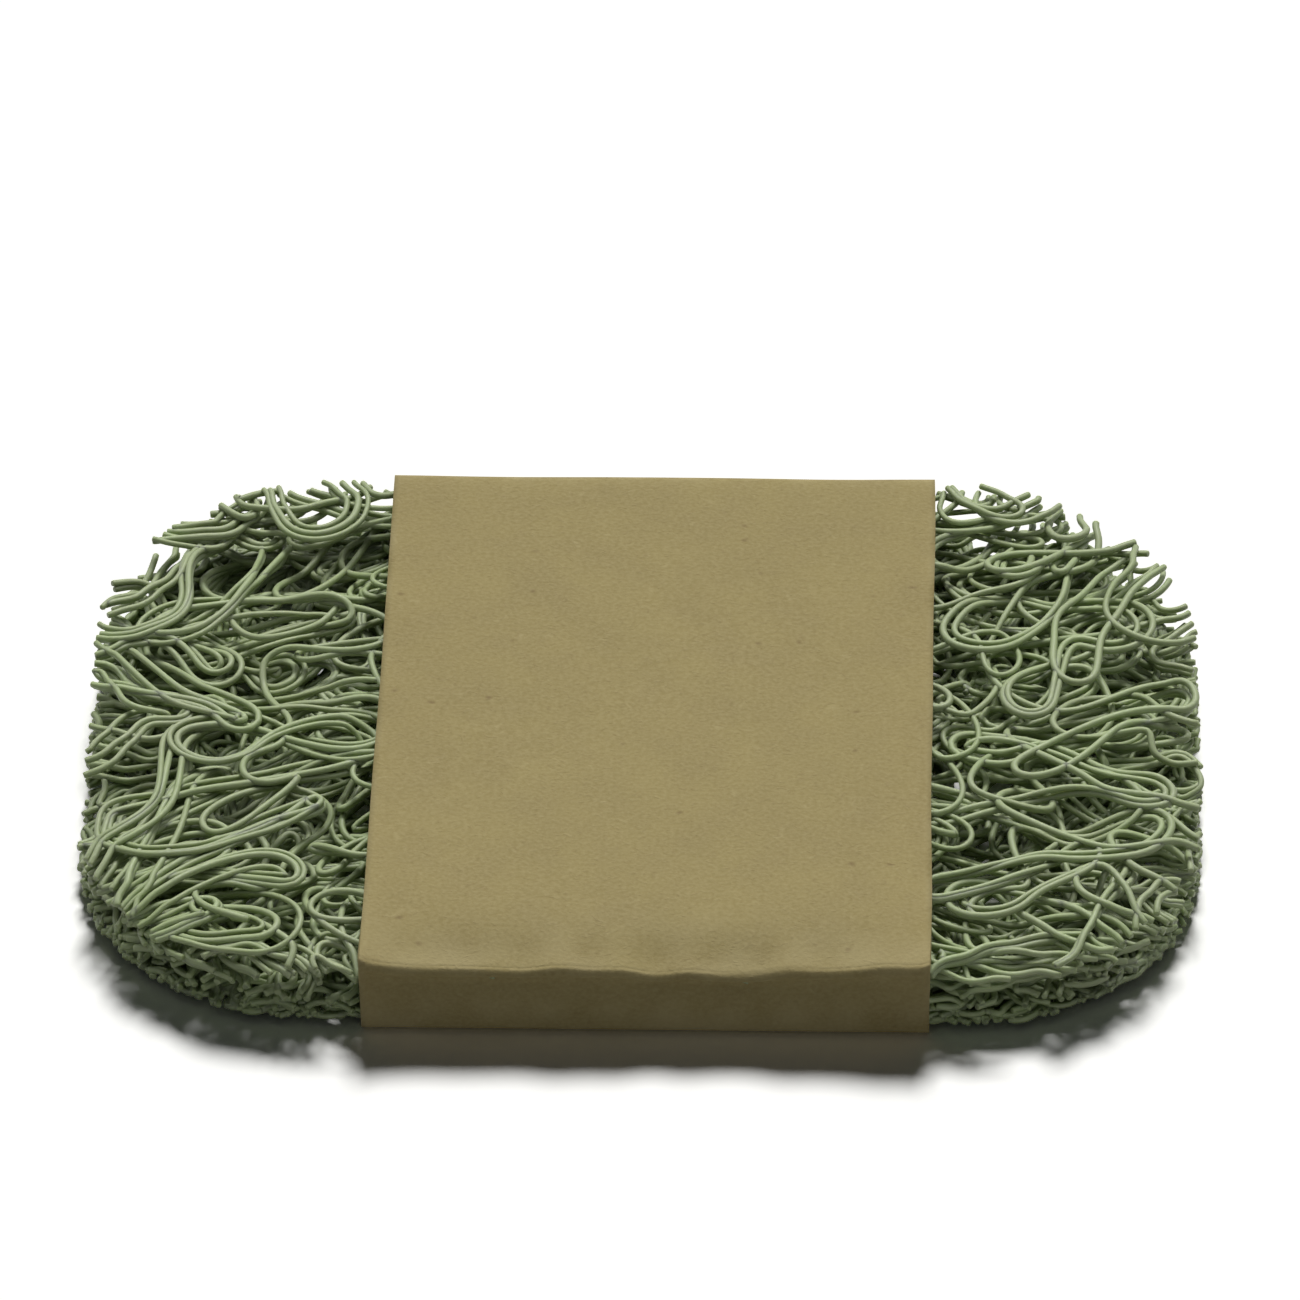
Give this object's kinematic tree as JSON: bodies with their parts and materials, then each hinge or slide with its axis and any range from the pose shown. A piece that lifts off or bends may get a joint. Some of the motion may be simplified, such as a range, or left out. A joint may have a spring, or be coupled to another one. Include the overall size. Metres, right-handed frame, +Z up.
{
  "type": "soap saver",
  "caption": "Flat rounded-rectangle mat of looped, fused plastic filament that lifts a bar of soap, in a folded kraft paper band that slides off",
  "frame": {"origin": "centre of the object's box at its underside, on the table", "axes": "+X along the mat's length, +Y from the user to the back, +Z up"},
  "size_m": [0.1188, 0.08, 0.0101],
  "materials": {
    "kraft": "matt recycled kraft paper with flecks",
    "glue": "dry hot-melt glue",
    "filament": "satin sage green extruded plastic",
    "ribbon": "satin sage green extruded plastic"
  },
  "bodies": {
    "mat": {"top_filament_1": "filament", "top_filament_2": "filament", "top_filament_3": "filament", "top_filament_4": "filament", "top_filament_5": "filament", "base_ribbon_1": "ribbon", "base_ribbon_2": "ribbon", "base_ribbon_3": "ribbon", "base_ribbon_4": "ribbon", "cross_ribbon_1": "ribbon", "cross_ribbon_2": "ribbon", "slant_ribbon_1": "ribbon", "slant_ribbon_2": "ribbon", "slant_ribbon_3": "ribbon", "slant_ribbon_4": "ribbon", "counter_ribbon_1": "ribbon", "counter_ribbon_2": "ribbon", "counter_ribbon_3": "ribbon", "upper_ribbon_1": "ribbon", "upper_ribbon_2": "ribbon", "upper_ribbon_3": "ribbon", "upper_ribbon_4": "ribbon"},
    "band": {"kraft_band": "kraft", "glue_line": "glue"}
  },
  "joints": [
    {"name": "band_slide", "type": "slide", "parent": "mat", "child": "band", "axis": [1, 0, 0], "range_m": [-0.095, 0.095]}
  ]
}
